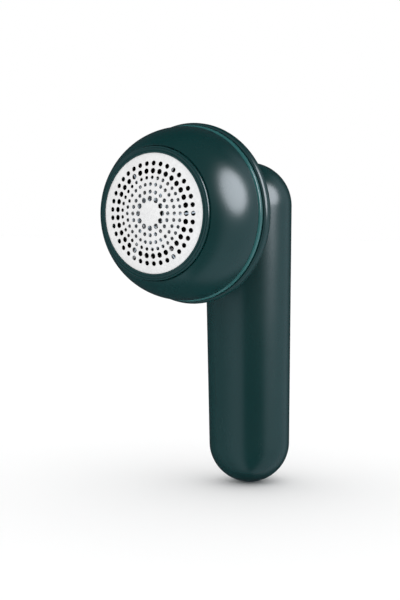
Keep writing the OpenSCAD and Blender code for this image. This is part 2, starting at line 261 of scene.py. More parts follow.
def mathNode(tree, operation, first, second=None):
    node = tree.nodes.new("ShaderNodeMath")
    node.operation = operation
    for socket, value in zip(node.inputs, (first, second)):
        if isinstance(value, (int, float)):
            socket.default_value = value
        elif value is not None:
            tree.links.new(value, socket)
    return node.outputs["Value"]


def rangeNode(tree, value, fromLow, fromHigh, toLow, toHigh):
    node = tree.nodes.new("ShaderNodeMapRange")
    tree.links.new(value, node.inputs["Value"])
    for label, end in zip(("From Min", "From Max", "To Min", "To Max"), (fromLow, fromHigh, toLow, toHigh)):
        if isinstance(end, (int, float)):
            node.inputs[label].default_value = end
        else:
            tree.links.new(end, node.inputs[label])
    return node.outputs["Result"]


def colourMix(tree, share, first, second):
    node = tree.nodes.new("ShaderNodeMix")
    node.data_type = "RGBA"
    tree.links.new(share, node.inputs["Factor"])
    colourSockets = [socket for socket in node.inputs if socket.type == "RGBA"]
    for socket, value in zip(colourSockets, (first, second)):
        if isinstance(value, tuple):
            socket.default_value = value
        else:
            tree.links.new(value, socket)
    return [socket for socket in node.outputs if socket.type == "RGBA"][0]


def grainGroup():
    # moulded or cast surface: slow drift of tone and gloss, and a fine grain as height
    group, into, out = newGroup(
        "SurfaceGrain",
        [("Tone", "Color", (0.5, 0.5, 0.5, 1)), ("Other Tone", "Color", (0.4, 0.4, 0.4, 1)),
         ("Drift Scale", "Float", 60.0), ("Grain Scale", "Float", 2500.0),
         ("Gloss Low", "Float", 0.3), ("Gloss High", "Float", 0.4)],
        [("Colour", "Color"), ("Roughness", "Float"), ("Height", "Float")])
    place = group.nodes.new("ShaderNodeTexCoord").outputs["Object"]
    drift = noiseNode(group, place, into.outputs["Drift Scale"], 3.0)
    grain = noiseNode(group, place, into.outputs["Grain Scale"], 2.0)
    spread = rangeNode(group, drift, 0.3, 0.7, 0.0, 1.0)
    tone = colourMix(group, spread, into.outputs["Tone"], into.outputs["Other Tone"])
    blend = mathNode(group, "ADD", mathNode(group, "MULTIPLY", spread, 0.7),
                     mathNode(group, "MULTIPLY", grain, 0.3))
    gloss = rangeNode(group, blend, 0.1, 0.9, into.outputs["Gloss Low"], into.outputs["Gloss High"])
    group.links.new(tone, out.inputs["Colour"])
    group.links.new(gloss, out.inputs["Roughness"])
    group.links.new(grain, out.inputs["Height"])
    return group


def brushGroup():
    # fine parallel lines along the group's own direction, with a second, broader set
    group, into, out = newGroup(
        "BrushedLines",
        [("Tone", "Color", (0.8, 0.8, 0.8, 1)), ("Other Tone", "Color", (0.6, 0.6, 0.6, 1)),
         ("Lines", "Vector", (200.0, 4000.0, 4000.0)), ("Gloss Low", "Float", 0.2),
         ("Gloss High", "Float", 0.35)],
        [("Colour", "Color"), ("Roughness", "Float"), ("Height", "Float")])
    place = group.nodes.new("ShaderNodeTexCoord").outputs["Object"]
    stretch = group.nodes.new("ShaderNodeVectorMath")
    stretch.operation = "MULTIPLY"
    group.links.new(place, stretch.inputs[0])
    group.links.new(into.outputs["Lines"], stretch.inputs[1])
    lines = noiseNode(group, stretch.outputs["Vector"], 1.0, 2.0)
    broad = noiseNode(group, stretch.outputs["Vector"], 0.12, 2.0)
    both = mathNode(group, "ADD", mathNode(group, "MULTIPLY", lines, 0.6),
                    mathNode(group, "MULTIPLY", broad, 0.4))
    share = rangeNode(group, both, 0.3, 0.7, 0.0, 1.0)
    group.links.new(colourMix(group, share, into.outputs["Tone"], into.outputs["Other Tone"]),
                    out.inputs["Colour"])
    group.links.new(rangeNode(group, both, 0.3, 0.7, into.outputs["Gloss Low"], into.outputs["Gloss High"]),
                    out.inputs["Roughness"])
    group.links.new(both, out.inputs["Height"])
    return group


def touchGroup():
    # what handling leaves: faint dust specks and wiped patches, as colour and roughness over the base's own
    group, into, out = newGroup(
        "TouchAndDust",
        [("Colour", "Color", (0.5, 0.5, 0.5, 1)), ("Roughness", "Float", 0.3),
         ("Dust Colour", "Color", (0.6, 0.6, 0.58, 1)),
         ("Dust", "Float", 0.15), ("Wipe", "Float", 0.06)],
        [("Colour", "Color"), ("Roughness", "Float")])
    place = group.nodes.new("ShaderNodeTexCoord").outputs["Object"]
    specks = rangeNode(group, noiseNode(group, place, 1500.0, 1.0), 0.72, 0.8, 0.0, 1.0)
    where = rangeNode(group, noiseNode(group, place, 45.0, 3.0), 0.5, 0.75, 0.0, 1.0)
    dust = mathNode(group, "MULTIPLY", mathNode(group, "MULTIPLY", specks, where), into.outputs["Dust"])
    wipes = rangeNode(group, noiseNode(group, place, 90.0, 4.0, (1.0, 1.0, 0.35)), 0.45, 0.7, 0.0, 1.0)
    group.links.new(colourMix(group, dust, into.outputs["Colour"], into.outputs["Dust Colour"]),
                    out.inputs["Colour"])
    wiped = mathNode(group, "MULTIPLY", wipes, into.outputs["Wipe"])
    rough = mathNode(group, "ADD", into.outputs["Roughness"], mathNode(group, "ADD", wiped, dust))
    group.links.new(rough, out.inputs["Roughness"])
    return group


surfaceGrain, brushedLines, touchAndDust = grainGroup(), brushGroup(), touchGroup()


# Finishes
def newFinish(name, **fixed):
    # a Principled material with its fixed sockets set
    material = bpy.data.materials.new(name)
    material.use_nodes = True
    shader = material.node_tree.nodes["Principled BSDF"]
    for label, value in fixed.items():
        shader.inputs[label.replace("_", " ")].default_value = value
    return material, material.node_tree, shader


def useGroup(tree, group, **values):
    node = tree.nodes.new("ShaderNodeGroup")
    node.node_tree = group
    for label, value in values.items():
        node.inputs[label.replace("_", " ")].default_value = value
    return node


def bumpInto(tree, shader, height, depth):
    # depth is the height of the relief in metres
    bump = tree.nodes.new("ShaderNodeBump")
    bump.inputs["Distance"].default_value = depth
    tree.links.new(height, bump.inputs["Height"])
    tree.links.new(bump.outputs["Normal"], shader.inputs["Normal"])


def grainedFinish(name, tones, drift, grain, gloss, relief, dust=0.1, wipe=0.04, **fixed):
    # plastics, castings and rubbers: grain, then what handling leaves on it
    material, tree, shader = newFinish(name, **fixed)
    base = useGroup(tree, surfaceGrain, Tone=tones[0], Other_Tone=tones[1], Drift_Scale=drift,
                    Grain_Scale=grain, Gloss_Low=gloss[0], Gloss_High=gloss[1])
    over = useGroup(tree, touchAndDust, Dust=dust, Wipe=wipe)
    tree.links.new(base.outputs["Colour"], over.inputs["Colour"])
    tree.links.new(base.outputs["Roughness"], over.inputs["Roughness"])
    tree.links.new(over.outputs["Colour"], shader.inputs["Base Color"])
    tree.links.new(over.outputs["Roughness"], shader.inputs["Roughness"])
    bumpInto(tree, shader, base.outputs["Height"], relief)
    return material


def brushedFinish(name, tones, lines, gloss, relief, metal=1.0, **fixed):
    # sheet and turned metal; where the metal share is set low, a near-white tone puts a painted reflection
    # into the colour
    material, tree, shader = newFinish(name, Metallic=metal, **fixed)
    base = useGroup(tree, brushedLines, Tone=tones[0], Other_Tone=tones[1], Lines=lines,
                    Gloss_Low=gloss[0], Gloss_High=gloss[1])
    tree.links.new(base.outputs["Colour"], shader.inputs["Base Color"])
    tree.links.new(base.outputs["Roughness"], shader.inputs["Roughness"])
    bumpInto(tree, shader, base.outputs["Height"], relief)
    return material


def grey(level, warm=0.0):
    return (level * (1 + warm), level, level * (1 - warm), 1)


def copperFinish():
    # enamelled wire wound round the motor's axis: bands along Y
    material, tree, shader = newFinish("copperWire", Metallic=1.0)
    place = tree.nodes.new("ShaderNodeTexCoord").outputs["Object"]
    wave = tree.nodes.new("ShaderNodeTexWave")
    wave.bands_direction = "Y"
    wave.inputs["Scale"].default_value = 900
    wave.inputs["Distortion"].default_value = 1.5
    tree.links.new(place, wave.inputs["Vector"])
    tree.links.new(colourMix(tree, wave.outputs["Fac"], (0.32, 0.1, 0.03, 1), (0.8, 0.36, 0.14, 1)),
                   shader.inputs["Base Color"])
    tree.links.new(rangeNode(tree, wave.outputs["Fac"], 0.0, 1.0, 0.45, 0.22), shader.inputs["Roughness"])
    bumpInto(tree, shader, wave.outputs["Fac"], 0.1 * mm)
    return material


def laminatedFinish():
    # a stack of thin iron sheets, one beside the other along Y
    material, tree, shader = newFinish("laminatedIron", Metallic=1.0)
    place = tree.nodes.new("ShaderNodeTexCoord").outputs["Object"]
    wave = tree.nodes.new("ShaderNodeTexWave")
    wave.bands_direction = "Y"
    wave.inputs["Scale"].default_value = 600
    tree.links.new(place, wave.inputs["Vector"])
    patches = noiseNode(tree, place, 300.0, 3.0)
    tone = colourMix(tree, patches, (0.2, 0.19, 0.18, 1), (0.36, 0.34, 0.32, 1))
    tree.links.new(colourMix(tree, wave.outputs["Fac"], (0.1, 0.1, 0.1, 1), tone),
                   shader.inputs["Base Color"])
    tree.links.new(rangeNode(tree, patches, 0.3, 0.7, 0.35, 0.6), shader.inputs["Roughness"])
    bumpInto(tree, shader, wave.outputs["Fac"], 0.05 * mm)
    return material


def boardFinish():
    # solder mask with copper tracks that run under it
    material, tree, shader = newFinish("board", Coat_Roughness=0.15)
    place = tree.nodes.new("ShaderNodeTexCoord").outputs["Object"]
    cells = tree.nodes.new("ShaderNodeTexVoronoi")
    cells.feature = "DISTANCE_TO_EDGE"
    cells.distance = "EUCLIDEAN"
    cells.inputs["Scale"].default_value = 260
    tree.links.new(place, cells.inputs["Vector"])
    tracks = rangeNode(tree, cells.outputs["Distance"], 0.05, 0.09, 1.0, 0.0)
    tone = colourMix(tree, noiseNode(tree, place, 120.0, 2.0), (0.004, 0.07, 0.03, 1),
                     (0.008, 0.1, 0.045, 1))
    tree.links.new(colourMix(tree, tracks, tone, (0.02, 0.2, 0.08, 1)), shader.inputs["Base Color"])
    tree.links.new(rangeNode(tree, tracks, 0.0, 1.0, 0.42, 0.28), shader.inputs["Roughness"])
    bumpInto(tree, shader, tracks, 0.03 * mm)
    return material


def feltFinish():
    # pressed wool: tangled fine fibres with a soft sheen
    material, tree, shader = newFinish("felt", Sheen_Weight=0.5, Sheen_Roughness=0.6)
    place = tree.nodes.new("ShaderNodeTexCoord").outputs["Object"]
    fibres = noiseNode(tree, place, 3500.0, 6.0, (1.0, 2.5, 0.6))
    tree.links.new(colourMix(tree, fibres, (0.05, 0.05, 0.05, 1), (0.2, 0.2, 0.19, 1)),
                   shader.inputs["Base Color"])
    tree.links.new(rangeNode(tree, fibres, 0.2, 0.8, 0.85, 1.0), shader.inputs["Roughness"])
    bumpInto(tree, shader, fibres, 0.15 * mm)
    return material


def clearFinish():
    # moulded light guide, faintly milky inside
    material, tree, shader = newFinish("clearPlastic", Transmission_Weight=0.6, IOR=1.49)
    place = tree.nodes.new("ShaderNodeTexCoord").outputs["Object"]
    milk = noiseNode(tree, place, 900.0, 3.0)
    tree.links.new(colourMix(tree, milk, (0.86, 0.88, 0.87, 1), (0.95, 0.96, 0.96, 1)),
                   shader.inputs["Base Color"])
    tree.links.new(rangeNode(tree, milk, 0.3, 0.7, 0.15, 0.3), shader.inputs["Roughness"])
    return material


shellGreen = {
    "tones": ((0.0026, 0.033, 0.0335, 1), (0.0033, 0.038, 0.0385, 1)),
    "drift": 30.0, "grain": 3800.0, "gloss": (0.24, 0.29), "relief": 0.0035 * mm,
    "dust": 0.03, "wipe": 0.02, "IOR": 1.5,
}
# the trim's tones are the shell's green made several times lighter all round: a painted reflection on a real
# ring
trimTealPaintedReflection = {
    "tones": ((0.024, 0.115, 0.115, 1), (0.03, 0.135, 0.135, 1)),
    "drift": 60.0, "grain": 2000.0, "gloss": (0.14, 0.2), "relief": 0.001 * mm,
    "dust": 0.02, "wipe": 0.02, "Coat_Weight": 0.5, "Coat_Roughness": 0.08,
}
finishes = {
    "green_shell": grainedFinish("greenShell", **shellGreen),
    "teal_trim": grainedFinish("tealTrim", **trimTealPaintedReflection),
    # the foil's near-white tone with a metal share of 0.2 is a painted reflection: the sheet shows white
    # from every side, as a mirrored bright light would make it
    "foil_steel": brushedFinish("foilSteel", (grey(0.99, 0.01), grey(0.84, 0.01)), (900.0, 900.0, 900.0),
                                (0.3, 0.4), 0.002 * mm, metal=0.2),
    # the blades' tone, near white and well above the plain steel's, is painted light: it stands in for light
    # reaching them through the foil's holes
    "blade_steel": brushedFinish("bladeSteel", (grey(0.97), grey(0.86)), (500.0, 3000.0, 3000.0),
                                 (0.16, 0.26), 0.003 * mm),
    "plain_steel": brushedFinish("plainSteel", (grey(0.66), grey(0.5, 0.01)), (900.0, 3500.0, 900.0),
                                 (0.25, 0.4), 0.004 * mm),
    "can_steel": brushedFinish("canSteel", (grey(0.6), grey(0.5)), (1500.0, 260.0, 1500.0),
                               (0.28, 0.4), 0.004 * mm),
    "black_plastic": grainedFinish("blackPlastic", (grey(0.016), grey(0.024)), 90.0, 2600.0, (0.42, 0.55),
                                   0.012 * mm),
    "ivory_plastic": grainedFinish("ivoryPlastic", ((0.72, 0.68, 0.56, 1), (0.78, 0.75, 0.64, 1)), 120.0,
                                   2200.0, (0.38, 0.5), 0.008 * mm, Subsurface_Weight=0.15,
                                   Subsurface_Scale=0.5 * mm),
    "clear_plastic": clearFinish(),
    "seal_rubber": grainedFinish("sealRubber", (grey(0.02), grey(0.035)), 150.0, 3200.0, (0.6, 0.75),
                                 0.015 * mm),
    "felt": feltFinish(),
    "bronze": brushedFinish("sinteredBronze", ((0.55, 0.34, 0.14, 1), (0.42, 0.25, 0.1, 1)),
                            (2200.0, 2200.0, 2200.0), (0.4, 0.6), 0.01 * mm),
    "copper_wire": copperFinish(),
    "magnet": grainedFinish("ferrite", (grey(0.035), grey(0.06)), 200.0, 3800.0, (0.6, 0.75), 0.02 * mm),
    "laminated_iron": laminatedFinish(),
    "cell_sleeve": grainedFinish("cellSleeve", ((0.02, 0.09, 0.26, 1), (0.03, 0.12, 0.32, 1)), 80.0, 1800.0,
                                 (0.24, 0.34), 0.006 * mm),
    "board": boardFinish(),
    "chip": grainedFinish("chipResin", (grey(0.012), grey(0.02)), 300.0, 4200.0, (0.5, 0.62), 0.008 * mm),
    "wire_red": grainedFinish("redSleeving", ((0.4, 0.012, 0.01, 1), (0.5, 0.02, 0.015, 1)), 200.0, 2600.0,
                              (0.32, 0.44), 0.004 * mm),
}
print("finishes done")


# Mesh helpers
def gridFaces(rows, columns, closedRows=False, closedColumns=False):
    # four-sided faces between neighbouring rows and columns of points
    row, column = np.meshgrid(np.arange(rows - (not closedRows)), np.arange(columns - (not closedColumns)),
                              indexing="ij")
    nextRow, nextColumn = (row + 1) % rows, (column + 1) % columns
    corners = [row * columns + column, row * columns + nextColumn,
               nextRow * columns + nextColumn, nextRow * columns + column]
    return np.stack(corners, -1).reshape(-1, 4)


def patch(points, closedRows=False, closedColumns=False):
    # points[row, column] is a place; the patch is its flat list of points and its faces
    rows, columns = points.shape[:2]
    return points.reshape(-1, 3), gridFaces(rows, columns, closedRows, closedColumns)


def roundedOutline(corners, steps=5):
    # each corner (x, y, radius) becomes a true arc that touches both of its sides
    corners = np.array(corners, float)
    point, radius = corners[:, :2], corners[:, 2]
    toBack, toNext = np.roll(point, 1, 0) - point, np.roll(point, -1, 0) - point
    backLength, nextLength = np.linalg.norm(toBack, axis=1), np.linalg.norm(toNext, axis=1)
    toBack, toNext = toBack / backLength[:, None], toNext / nextLength[:, None]
    half = np.arccos(np.clip((toBack * toNext).sum(1), -0.99999, 0.99999)) / 2
    reach = np.minimum(radius / np.tan(half), 0.48 * np.minimum(backLength, nextLength))
    middle = toBack + toNext
    middle = middle / np.linalg.norm(middle, axis=1)[:, None]
    centre = point + middle * (reach / np.cos(half))[:, None]
    start, end = point + toBack * reach[:, None] - centre, point + toNext * reach[:, None] - centre
    sweep = (math.pi - 2 * half)[:, None]
    t = np.linspace(0, 1, steps + 1)[None, :]
    first, second = np.sin((1 - t) * sweep) / np.sin(sweep), np.sin(t * sweep) / np.sin(sweep)
    arcs = centre[:, None] + first[..., None] * start[:, None] + second[..., None] * end[:, None]
    arcs = np.where((radius < 1e-6)[:, None, None], point[:, None], arcs).reshape(-1, 2)
    keep = np.linalg.norm(arcs - np.roll(arcs, 1, 0), axis=1) > 1e-6
    return arcs[keep]


def curveCorners(points):
    # points of a smooth curve, as corners that need no rounding
    return [(x, y, 0) for x, y in points]


def onHead(radius, angle, depth):
    # a place from its distance to the head's axis, its angle round it and its depth behind the foil's edge
    radius, angle, depth = np.broadcast_arrays(radius, angle, depth)
    return np.stack([headX + radius * np.cos(angle), foilY + depth, headZ + radius * np.sin(angle)], -1)


def turned(outline, segments=192):
    # the closed outline (radius, depth) carried round the head's axis
    angle = np.linspace(0, 2 * math.pi, segments, endpoint=False)[:, None]
    return patch(onHead(outline[None, :, 0], angle, outline[None, :, 1]), True, True)


def addMesh(name, patches, weld=1e-6):
    # patches joined into one mesh, welded, and turned outwards
    points = np.concatenate([p for p, f in patches])
    starts = np.cumsum([0] + [len(p) for p, f in patches])
    faces = [face for (p, f), start in zip(patches, starts) for face in (np.asarray(f) + start).tolist()]
    mesh = bpy.data.meshes.new(name)
    mesh.from_pydata(points.tolist(), [], faces)
    work = bmesh.new()
    work.from_mesh(mesh)
    bmesh.ops.remove_doubles(work, verts=work.verts, dist=weld)
    bmesh.ops.dissolve_degenerate(work, edges=work.edges, dist=weld / 2)
    bmesh.ops.recalc_face_normals(work, faces=work.faces)
    work.to_mesh(mesh)
    work.free()
    piece = bpy.data.objects.new(name, mesh)
    bpy.context.scene.collection.objects.link(piece)
    return piece


def carve(piece, cutters):
    # takes the cutters out of the piece, and leaves one plain mesh
    for cutter in cutters:
        modifier = piece.modifiers.new("carve", "BOOLEAN")
        modifier.operation = "DIFFERENCE"
        modifier.solver = "EXACT"
        modifier.object = cutter
    bpy.context.view_layer.update()
    carved = bpy.data.meshes.new_from_object(piece.evaluated_get(bpy.context.evaluated_depsgraph_get()))
    piece.modifiers.clear()
    old, piece.data = piece.data, carved
    bpy.data.meshes.remove(old)
    for cutter in cutters:
        bpy.data.objects.remove(cutter)


def finishPiece(piece, node, slotName, body, crease=32):
    # smooth shading with crisp creases, its finish, and its place in the assembly
    mesh = piece.data
    mesh.name = piece.name
    mesh.materials.clear()
    mesh.materials.append(finishes[slotName])
    mesh.polygons.foreach_set("use_smooth", np.ones(len(mesh.polygons), bool))
    mesh.set_sharp_from_angle(angle=math.radians(crease))
    weighted = piece.modifiers.new("evenShading", "WEIGHTED_NORMAL")
    weighted.keep_sharp = True
    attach(piece, body)
    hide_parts(node)
    print(piece.name, len(mesh.polygons), "faces")


# Foil
foil = {
    "radius": 24.5 * mm, "rise": 2.4 * mm, "thickness": 0.3 * mm, "edge": 25.35 * mm,
    "roll": 0.14 * mm,         # width of the rounding that stamping leaves round each hole
    "spacing": 0.9 * mm,
    "sides": 20,
    # rings of holes: share of the foil's radius, count, hole radius
    "rings": [(0.829, 37, 1.0), (0.704, 33, 1.12), (0.593, 33, 0.75), (0.483, 28, 0.77),
              (0.359, 20, 0.83), (0.245, 12, 1.1)],
}


def foilDepth(across, under=0.0):
    # depth of the dome of the foil: a ball through its middle and its edge, or the same ball less under
    ball = (foil["radius"] ** 2 + foil["rise"] ** 2) / (2 * foil["rise"])
    return ball - foil["rise"] - np.sqrt((ball - under) ** 2 - across ** 2)


def foilPlace(flat, under=0.0, sunk=0.0):
    # places on the foil from their flat places; under is how deep in the sheet, sunk adds a local dip
    across = np.linalg.norm(flat, axis=-1)
    depth = foilDepth(across, under) + sunk
    return np.stack([headX + flat[..., 0], foilY + depth, headZ + flat[..., 1]], -1)


def addFoil():
    centres, sizes = [], []
    for share, count, size in foil["rings"]:
        angle = np.arange(count) * 2 * math.pi / count
        centres.append(share * foil["radius"] * np.stack([np.cos(angle), np.sin(angle)], -1))
        sizes.append(np.full(count, size * mm))
    centres, sizes = np.concatenate(centres), np.concatenate(sizes)
    turn = np.linspace(0, 2 * math.pi, foil["sides"], endpoint=False)
    unit = np.stack([np.cos(turn), np.sin(turn)], -1)
    mouth = centres[:, None] + (sizes + foil["roll"])[:, None, None] * unit[None]
    # sheet between the holes: rings of points, less those that fall in or near a hole
    rings = [r * np.stack([np.cos(a), np.sin(a)], -1)
             for r in np.arange(foil["edge"], 0, -foil["spacing"])
             for a in [np.arange(max(6, int(2 * math.pi * r / foil["spacing"]))) * foil["spacing"] / r]]
    rim = 240
    rimAngle = np.arange(rim) * 2 * math.pi / rim
    edge = foil["edge"] * np.stack([np.cos(rimAngle), np.sin(rimAngle)], -1)
    inner = np.concatenate(rings[1:])
    gap = np.linalg.norm(inner[:, None] - centres[None], axis=2) - sizes[None]
    inner = inner[gap.min(1) > foil["roll"] + 0.3 * foil["spacing"]]
    flat = np.concatenate([mouth.reshape(-1, 2), edge, inner])
    loops = np.arange(len(centres) * foil["sides"]).reshape(len(centres), -1)
    around = np.stack([loops, np.roll(loops, -1, 1)], -1).reshape(-1, 2)
    places, _, faces, *_ = delaunay_2d_cdt([Vector(p) for p in flat.tolist()], around.tolist(), [], 0, 1e-9)
    places, faces = np.array(places), np.array(faces)
    middle = places[faces].mean(1)
    outside = (np.linalg.norm(middle[:, None] - centres[None],
                              axis=2) - sizes[None] - foil["roll"]).min(1) > -2e-6
    faces = faces[outside]
    thick, roll = foil["thickness"], foil["roll"]
    # wall of each hole from the front sheet, over the rounding, to the back sheet: (widening, under, sunk)
    wall = np.array([(roll, 0, 0), (0.6 * roll, 0, 0.08 * roll), (0.25 * roll, 0, 0.35 * roll), (0, 0, roll),
                     (0, thick, 0), (roll, thick, 0)])
    widths = sizes[:, None] + wall[None, :, 0]
    ring = centres[:, None, None] + widths[..., None, None] * unit[None, None]
    across = np.linalg.norm(ring, axis=-1)
    depth = np.stack([foilDepth(across[:, k], wall[k, 1]) + wall[k, 2] for k in range(len(wall))], 1)
    holes = np.stack([headX + ring[..., 0], foilY + depth, headZ + ring[..., 1]], -1)
    patches = [(foilPlace(places), faces), (foilPlace(places, thick), faces)]
    patches += [patch(hole, False, True) for hole in holes]
    patches.append(patch(np.stack([foilPlace(edge), foilPlace(edge, thick)]), False, True))
    piece = addMesh("foil_sheet", patches, 2e-6)
    finishPiece(piece, "foil_mesh", "foil_steel", "foil_cap", 40)


addFoil()


# Ring that holds the foil
foilRing = {
    # (radius, depth, rounding) in mm, from the lip over the foil, across the hollow,
    # to the bead and the skirt
    "profile": [(24.5, -0.02, 0.03), (24.62, -0.32, 0.1), (25.2, -0.34, 0.12), (25.6, 0.1, 0.4),
                (26.3, 0.3, 0.5), (26.8, -0.14, 0.12), (27.15, -0.14, 0.12), (27.3, 0.3, 0.12),
                (27.3, 3.7, 0.15), (26.45, 3.7, 0.1),
                (26.45, 8, 0.15), (25.45, 8, 0.15), (25.45, 0.18, 0.03)],
    "lugs": 3, "lugAngle": 24, "lugRadii": (26.2, 27.3), "lugDepths": (6.3, 7.9), "lugRound": 0.2,
}


def scaled(corners):
    return [(x * mm, y * mm, radius * mm) for x, y, radius in corners]


def lugPatches(middles, span, radii, depths, rounding):
    # a rounded block carried along an arc of the head's circle, closed by a fan at each end
    (low, high), (front, back) = radii, depths
    outline = roundedOutline(scaled([(low, front, rounding), (high, front, rounding),
                                     (high, back, rounding), (low, back, rounding)]), 3)
    made = []
    for middle in middles:
        angle = middle + np.radians(np.linspace(-span / 2, span / 2, 17))[:, None]
        body = onHead(outline[None, :, 0], angle, outline[None, :, 1])
        ends = body.mean(1, keepdims=True).repeat(body.shape[1], 1)
        made.append(patch(np.concatenate([ends[:1], body, ends[-1:]]), False, True))
    return made


def addFoilRing():
    outline = roundedOutline(scaled(foilRing["profile"]))
    middles = np.arange(foilRing["lugs"]) * 2 * math.pi / foilRing["lugs"]
    lugs = lugPatches(middles, foilRing["lugAngle"], foilRing["lugRadii"], foilRing["lugDepths"],
                      foilRing["lugRound"])
    piece = addMesh("foil_retainer", [turned(outline, 256)] + lugs)
    finishPiece(piece, "foil_ring", "green_shell", "foil_cap")


addFoilRing()


# Lint bin, the dome of the head
dome = {
    "radius": 36.4, "seam": 22.6, "length": 31.5, "fullness": 2.18, "front": 1.0, "wall": 2.0,
    "seamRound": 0.35, "frontRound": 0.2,
    "counterbore": 27.45, "lip": 26.75, "lipDepths": (4, 6), "spigot": (34.4, 16.8), "shelf": 33.9,
    "notchTurn": 25, "notchAngle": 26,
}


def domeRadius(depth):
    # superellipse: radius and depth, each over its own length and to the power of fullness, add up to one
    n = dome["fullness"]
    return dome["radius"] * (1 - ((dome["seam"] - depth) / dome["length"]) ** n) ** (1 / n)


def inset(curve, wall):
    # the curve moved inwards, square to itself
    along = np.gradient(curve, axis=0)
    along /= np.linalg.norm(along, axis=1)[:, None]
    return curve + wall * np.stack([-along[:, 1], along[:, 0]], -1)


def domeOutline():
    angle = np.linspace(0, math.pi / 2, 56)
    depth = dome["seam"] - (dome["seam"] - dome["front"]) * np.cos(angle)
    curve = np.stack([domeRadius(depth), depth], -1)
    inner = inset(curve, dome["wall"])
    inner = inner[(inner[:, 1] > dome["lipDepths"][1]) & (inner[:, 1] < dome["spigot"][1] - 0.3)][::-1]
    bore, lip, (near, far) = dome["counterbore"], dome["lip"], dome["lipDepths"]
    corners = curveCorners(curve[:-1]) + [(*curve[-1], dome["seamRound"]),
                                          (dome["spigot"][0], dome["seam"], 0.1)]
    corners += [(*dome["spigot"], 0.1), (dome["shelf"], dome["spigot"][1], 0)] + curveCorners(inner)
    corners += [(lip, far, 0.1), (lip, near, 0.15), (bore, near, 0.1),
                (bore, dome["front"] + 0.1, dome["frontRound"])]
    return roundedOutline(scaled(corners), 6)


def addDome():
    outline = domeOutline()
    edges = np.radians([-dome["notchAngle"] / 2 - 0.4, -dome["notchAngle"] / 2,
                        dome["notchAngle"] / 2, dome["notchAngle"] / 2 + 0.4])
    middles = math.radians(dome["notchTurn"]) + np.arange(3)[:, None] * 2 * math.pi / 3
    angle = np.sort(np.concatenate([np.linspace(0, 2 * math.pi, 240, endpoint=False),
                                    (middles + edges).ravel() % (2 * math.pi)]))
    # the three notches let the ring's lugs pass: there the lip is no narrower than the counterbore
    apart = np.abs((angle[:, None] - middles.ravel() + math.pi) % (2 * math.pi) - math.pi).min(1)
    notched = np.clip((edges[3] - apart) / (edges[3] - edges[2]), 0, 1)[:, None]
    radius, depth = outline[None, :, 0], outline[None, :, 1]
    near, far = (d * mm for d in dome["lipDepths"])
    onLip = (radius < dome["counterbore"] * mm) & (depth > near - 0.05 * mm) & (depth < far + 0.05 * mm)
    radius = np.where(onLip, radius + notched * (dome["counterbore"] * mm - radius), radius)
    piece = addMesh("head_dome", [patch(onHead(radius, angle[:, None], depth), True, True)])
    finishPiece(piece, "lint_bin", "green_shell", "bin")


addDome()


# Ring in the seam, a real part; its teal tone, several times lighter than the shell's green, is a painted
# reflection
trim = {
    "profile": [(34.2, 22.8, 0), (36.45, 22.8, 0.25), (36.95, 23.3, 0.5), (36.95, 24.7, 0.5),
                (36.5, 25.2, 0.25),
                (34.2, 25.2, 0)],
}


def addTrim():
    piece = addMesh("seam_ring", [turned(roundedOutline(scaled(trim["profile"]), 6), 256)])
    finishPiece(piece, "trim_ring", "teal_trim", "handle")


addTrim()


# Handle's form, which its shells, the head's neck and everything on its back use
handle = {
    "topRadius": 19.6 * mm, "bottomRadius": 18.15 * mm, "halfSpan": 53.6 * mm,
    "wall": 2 * mm, "partY": 12 * mm, "partRound": 0.22 * mm,
    "arcRows": 26, "sideRows": 60, "capRows": 22, "columns": 168,
}


def handleRadius(z, wall=0.0):
    # two balls and the cone that touches both; z runs along the handle's axis
    top, bottom, half = handle["topRadius"] - wall, handle["bottomRadius"] - wall, handle["halfSpan"]
    slope = (top - bottom) / (2 * half)
    cone = ((top + bottom) / 2 + slope * z) / math.sqrt(1 - slope ** 2)
    lowBall = np.sqrt(np.maximum(bottom ** 2 - (z + half) ** 2, 0))
    highBall = np.sqrt(np.maximum(top ** 2 - (z - half) ** 2, 0))
    return np.where(z < -half - bottom * slope, lowBall, np.where(z > half - top * slope, highBall, cone))


def onHandle(x, y, z):
    # a place from the handle's own coordinates, which lean with it about X
    x, y, z = np.broadcast_arrays(x, y, z)
    return np.stack([x, y * math.cos(lean) - z * math.sin(lean), y * math.sin(lean) + z * math.cos(lean)],
                    -1)


def frontDepth(x, z, wall=0.0):
    # depth behind the foil's edge at which a line along the head's axis meets the front of the handle
    y = np.full(np.broadcast(x, z).shape, -handle["topRadius"])
    for _ in range(12):
        along = -y * math.sin(lean) + z * math.cos(lean)
        face = -np.sqrt(np.maximum(handleRadius(along, wall) ** 2 - x ** 2, 0))
        y = (face - z * math.sin(lean)) / math.cos(lean)
    return y - foilY


def partRows(planeY, wall):
    # rows up the parting outline: heights, half widths at the plane, and the outline's outward direction
    top, bottom = (handle[end] - wall for end in ("topRadius", "bottomRadius"))
    arc = np.linspace(0, math.pi / 2, handle["arcRows"])
    straight = np.linspace(-handle["halfSpan"], handle["halfSpan"], handle["sideRows"])[1:-1]
    low, high = (math.sqrt(radius ** 2 - planeY ** 2) for radius in (bottom, top))
    z = np.concatenate([-handle["halfSpan"] - low * np.cos(arc), straight,
                        handle["halfSpan"] + high * np.sin(arc)])
    halfWidth = np.sqrt(np.maximum(handleRadius(z, wall) ** 2 - planeY ** 2, 0))
    halfWidth[[0, -1]] = 0
    outX = np.concatenate([np.sin(arc), np.ones(len(straight)), np.cos(arc)])
    outZ = np.concatenate([-np.cos(arc), np.zeros(len(straight)), np.sin(arc)])
    return z, halfWidth, outX, outZ


